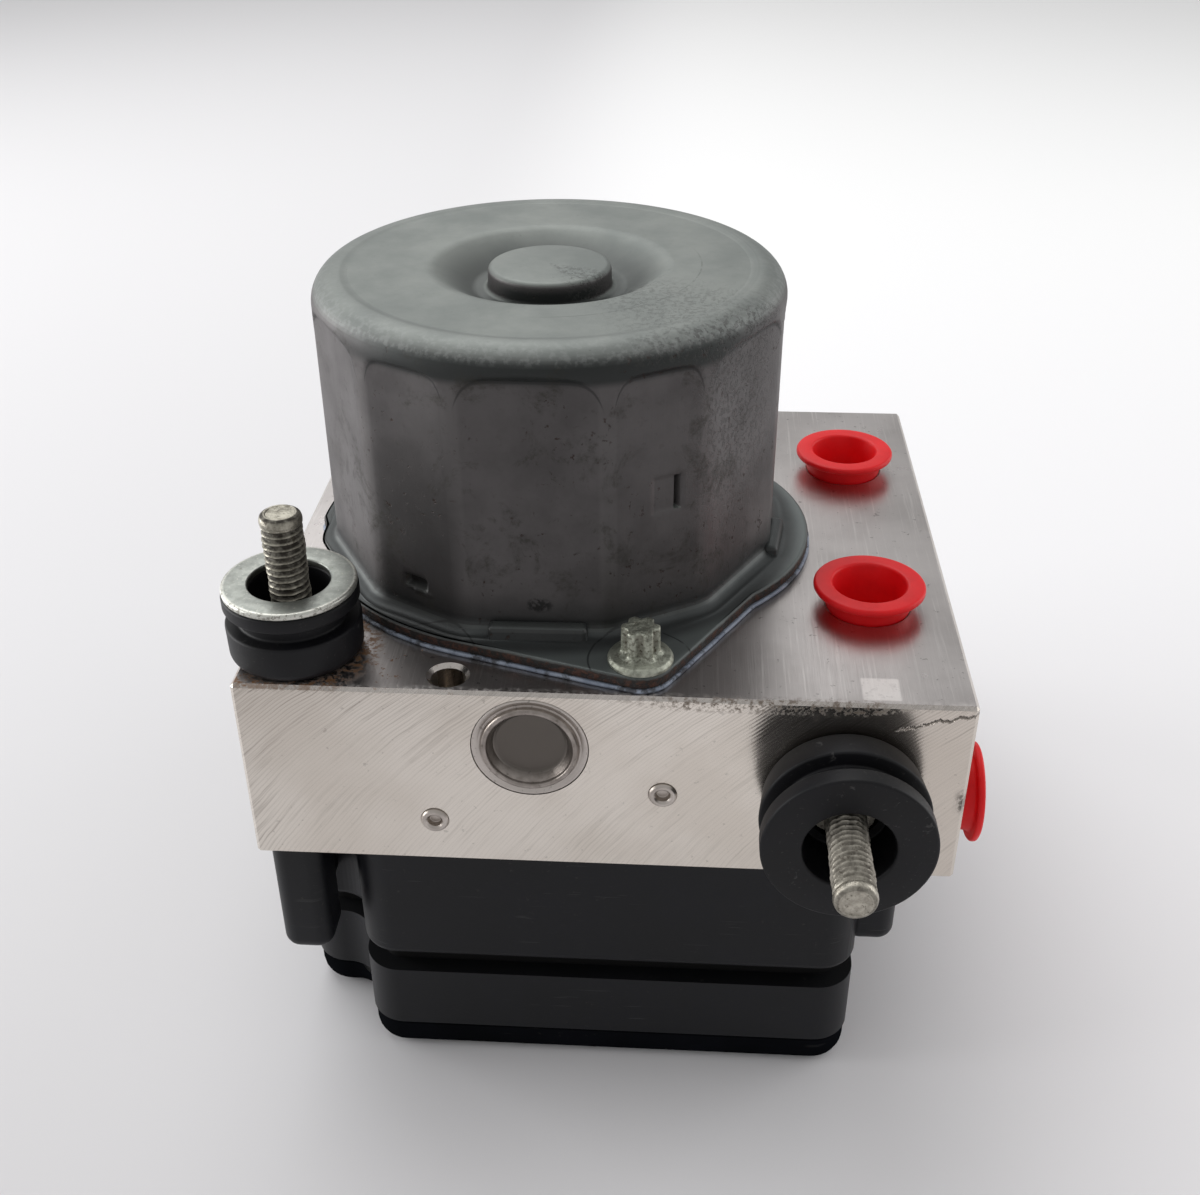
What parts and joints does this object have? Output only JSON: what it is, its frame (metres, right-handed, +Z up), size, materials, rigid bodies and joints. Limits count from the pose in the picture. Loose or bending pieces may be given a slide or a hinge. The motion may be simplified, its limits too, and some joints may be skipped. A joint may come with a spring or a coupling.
{
  "type": "anti-lock brake modulator",
  "caption": "Anti-lock brake modulator: milled aluminium block with round pump motor on top, black control unit below, rubber-mounted studs and red port plugs.",
  "frame": {"origin": "the point where the motor axis meets the bottom face of the control unit's lid, on which the module rests", "axes": "+Z up the motor axis, +X to the wheel ports, +Y to the connector"},
  "size_m": [0.1099, 0.1445, 0.1225],
  "materials": {
    "block_aluminium": "milled, fine cutter marks, stained",
    "can_steel": "deep-drawn, matt plated, speckled with rust",
    "gasket_rubber": "thin pressed sheet",
    "zinc_steel": "zinc plated, dull",
    "machined_steel": "turned",
    "mount_rubber": "matt moulded",
    "plug_red": "satin moulded",
    "unit_plastic": "fine moulded texture",
    "contact_brass": "bright",
    "copper": "copper",
    "core_steel": "laminated",
    "bearing_steel": "ground",
    "spring_steel": "drawn wire",
    "piston_aluminium": "anodised",
    "magnet_ferrite": "ground ferrite",
    "brush_carbon": "pressed carbon",
    "board_laminate": "coated laminate",
    "holder_plastic": "moulded",
    "coil_plastic": "moulded over copper"
  },
  "bodies": {
    "root": {"accumulator_caps": "machined_steel", "accumulator_spring_back": "spring_steel", "accumulator_spring_front": "spring_steel", "brush_plate": "holder_plastic", "brush_springs": "spring_steel", "carbon_brushes": "brush_carbon", "circuit_board": "board_laminate", "connector_pins": "contact_brass", "expander_plugs": "machined_steel", "hydraulic_block": "block_aluminium", "inlet_valve_bodies": "machined_steel", "main_bearing_outer": "bearing_steel", "motor_can": "can_steel", "motor_gasket": "gasket_rubber", "motor_lead": "copper", "motor_magnets": "magnet_ferrite", "motor_screws": "zinc_steel", "mount_rubber_front": "mount_rubber", "mount_rubber_top": "mount_rubber", "mount_stud_front": "zinc_steel", "mount_stud_top": "zinc_steel", "mount_washer": "zinc_steel", "outlet_valve_bodies": "machined_steel", "pump_cylinders": "machined_steel", "pump_plug_back": "machined_steel", "pump_plug_front": "machined_steel", "pump_spring_back": "spring_steel", "pump_spring_front": "spring_steel", "shaft_bushes": "contact_brass", "unit_housing": "unit_plastic", "unit_lid": "unit_plastic", "unit_screws": "zinc_steel", "unit_seal": "mount_rubber", "valve_coils": "coil_plastic"},
    "armature": {"armature_shaft": "machined_steel", "armature_core": "core_steel", "armature_windings": "copper", "commutator": "copper", "main_bearing_inner": "bearing_steel"},
    "ball_set": {"main_bearing_balls": "bearing_steel"},
    "needle_set": {"eccentric_needles": "bearing_steel"},
    "pump_ring": {"eccentric_ring": "bearing_steel"},
    "pump_front": {"pump_piston_front": "machined_steel"},
    "accumulator_front": {"accumulator_piston_front": "piston_aluminium"},
    "pump_back": {"pump_piston_back": "machined_steel"},
    "accumulator_back": {"accumulator_piston_back": "piston_aluminium"},
    "inlet_valve_1": {"inlet_plunger_1": "machined_steel"},
    "inlet_valve_2": {"inlet_plunger_2": "machined_steel"},
    "inlet_valve_3": {"inlet_plunger_3": "machined_steel"},
    "inlet_valve_4": {"inlet_plunger_4": "machined_steel"},
    "outlet_valve_1": {"outlet_plunger_1": "machined_steel"},
    "outlet_valve_2": {"outlet_plunger_2": "machined_steel"},
    "outlet_valve_3": {"outlet_plunger_3": "machined_steel"},
    "outlet_valve_4": {"outlet_plunger_4": "machined_steel"},
    "master_port_plug_1_body": {"master_port_plug_1": "plug_red"},
    "master_port_plug_2_body": {"master_port_plug_2": "plug_red"},
    "wheel_port_plug_1_body": {"wheel_port_plug_1": "plug_red"},
    "wheel_port_plug_2_body": {"wheel_port_plug_2": "plug_red"},
    "wheel_port_plug_3_body": {"wheel_port_plug_3": "plug_red"},
    "wheel_port_plug_4_body": {"wheel_port_plug_4": "plug_red"}
  },
  "joints": [
    {"name": "armature_spin", "type": "hinge", "parent": "root", "child": "armature", "pos_m": [0, 0, 0.1], "axis": [0, 0, 1], "continuous": true},
    {"name": "bearing_ball_orbit", "type": "hinge", "parent": "root", "child": "ball_set", "pos_m": [0, 0, 0.0745], "axis": [0, 0, 1], "continuous": true},
    {"name": "needle_orbit", "type": "hinge", "parent": "armature", "child": "needle_set", "pos_m": [0.0011, 0, 0.0671], "axis": [0, 0, 1], "continuous": true},
    {"name": "ring_counter_turn", "type": "hinge", "parent": "armature", "child": "pump_ring", "pos_m": [0.0011, 0, 0.0671], "axis": [0, 0, 1], "continuous": true},
    {"name": "pump_front_stroke", "type": "slide", "parent": "root", "child": "pump_front", "axis": [0, 1, 0], "range_m": [0, 0.0011], "deforming": ["pump_spring_front"]},
    {"name": "pump_back_stroke", "type": "slide", "parent": "root", "child": "pump_back", "axis": [0, -1, 0], "range_m": [0, 0.0011], "deforming": ["pump_spring_back"]},
    {"name": "accumulator_front_stroke", "type": "slide", "parent": "root", "child": "accumulator_front", "axis": [-1, 0, 0], "range_m": [0, 0.008], "stiffness_N_per_m": 3800, "springref_m": -0.008, "deforming": ["accumulator_spring_front"]},
    {"name": "accumulator_back_stroke", "type": "slide", "parent": "root", "child": "accumulator_back", "axis": [-1, 0, 0], "range_m": [0, 0.008], "stiffness_N_per_m": 3800, "springref_m": -0.008, "deforming": ["accumulator_spring_back"]},
    {"name": "inlet_valve_1_stroke", "type": "slide", "parent": "root", "child": "inlet_valve_1", "axis": [0, 0, 1], "range_m": [0, 0.0003], "stiffness_N_per_m": 1500, "springref_m": -0.001},
    {"name": "inlet_valve_2_stroke", "type": "slide", "parent": "root", "child": "inlet_valve_2", "axis": [0, 0, 1], "range_m": [0, 0.0003], "stiffness_N_per_m": 1500, "springref_m": -0.001},
    {"name": "inlet_valve_3_stroke", "type": "slide", "parent": "root", "child": "inlet_valve_3", "axis": [0, 0, 1], "range_m": [0, 0.0003], "stiffness_N_per_m": 1500, "springref_m": -0.001},
    {"name": "inlet_valve_4_stroke", "type": "slide", "parent": "root", "child": "inlet_valve_4", "axis": [0, 0, 1], "range_m": [0, 0.0003], "stiffness_N_per_m": 1500, "springref_m": -0.001},
    {"name": "outlet_valve_1_stroke", "type": "slide", "parent": "root", "child": "outlet_valve_1", "axis": [0, 0, -1], "range_m": [0, 0.0003], "stiffness_N_per_m": 1500, "springref_m": -0.001},
    {"name": "outlet_valve_2_stroke", "type": "slide", "parent": "root", "child": "outlet_valve_2", "axis": [0, 0, -1], "range_m": [0, 0.0003], "stiffness_N_per_m": 1500, "springref_m": -0.001},
    {"name": "outlet_valve_3_stroke", "type": "slide", "parent": "root", "child": "outlet_valve_3", "axis": [0, 0, -1], "range_m": [0, 0.0003], "stiffness_N_per_m": 1500, "springref_m": -0.001},
    {"name": "outlet_valve_4_stroke", "type": "slide", "parent": "root", "child": "outlet_valve_4", "axis": [0, 0, -1], "range_m": [0, 0.0003], "stiffness_N_per_m": 1500, "springref_m": -0.001},
    {"name": "master_port_plug_1_pull", "type": "slide", "parent": "root", "child": "master_port_plug_1_body", "axis": [0, 0, 1], "range_m": [0, 0.014]},
    {"name": "master_port_plug_2_pull", "type": "slide", "parent": "root", "child": "master_port_plug_2_body", "axis": [0, 0, 1], "range_m": [0, 0.014]},
    {"name": "wheel_port_plug_1_pull", "type": "slide", "parent": "root", "child": "wheel_port_plug_1_body", "axis": [1, 0, 0], "range_m": [0, 0.014]},
    {"name": "wheel_port_plug_2_pull", "type": "slide", "parent": "root", "child": "wheel_port_plug_2_body", "axis": [1, 0, 0], "range_m": [0, 0.014]},
    {"name": "wheel_port_plug_3_pull", "type": "slide", "parent": "root", "child": "wheel_port_plug_3_body", "axis": [1, 0, 0], "range_m": [0, 0.014]},
    {"name": "wheel_port_plug_4_pull", "type": "slide", "parent": "root", "child": "wheel_port_plug_4_body", "axis": [1, 0, 0], "range_m": [0, 0.014]}
  ],
  "couplings": [
    {"joint": "bearing_ball_orbit", "follows": "armature_spin", "ratio": 0.38125},
    {"joint": "needle_orbit", "follows": "armature_spin", "ratio": -0.5664},
    {"joint": "ring_counter_turn", "follows": "armature_spin", "ratio": -1}
  ]
}
